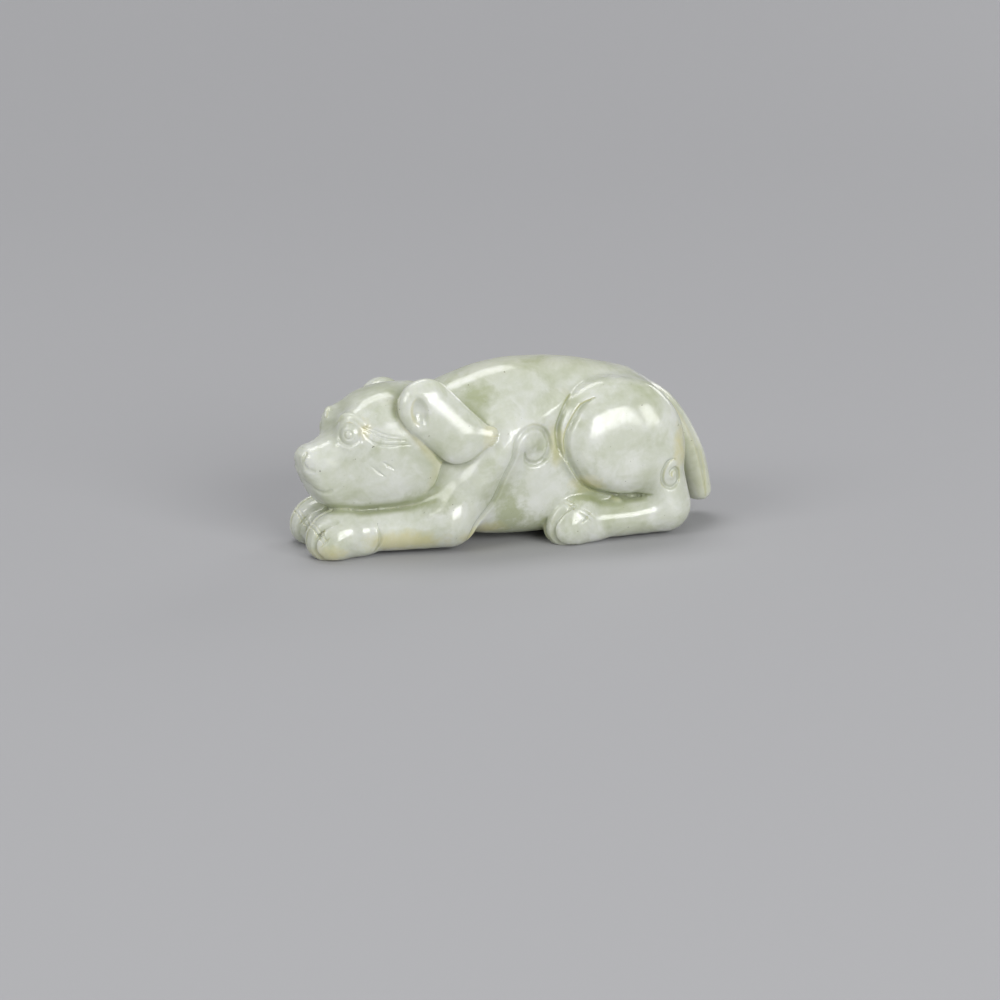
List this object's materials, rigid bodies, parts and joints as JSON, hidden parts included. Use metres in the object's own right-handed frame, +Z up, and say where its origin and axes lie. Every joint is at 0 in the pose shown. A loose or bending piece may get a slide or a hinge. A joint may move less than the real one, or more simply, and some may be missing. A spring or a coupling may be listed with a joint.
{
  "type": "jade dog carving",
  "caption": "Small crouching dog-like animal carved from one piece of pale green jade, head on its forelegs, drop ears, curled shoulder and hock marks, long tail.",
  "frame": {"origin": "on the surface that the carving stands on, under the middle of its length and width", "axes": "+Z up, -X towards the animal's nose, +X towards its tail, -Y out of the flank that the picture shows"},
  "size_m": [0.1052, 0.0412, 0.0427],
  "materials": {
    "jade": "polished"
  },
  "bodies": {
    "root": {"bear": "jade"}
  },
  "joints": []
}
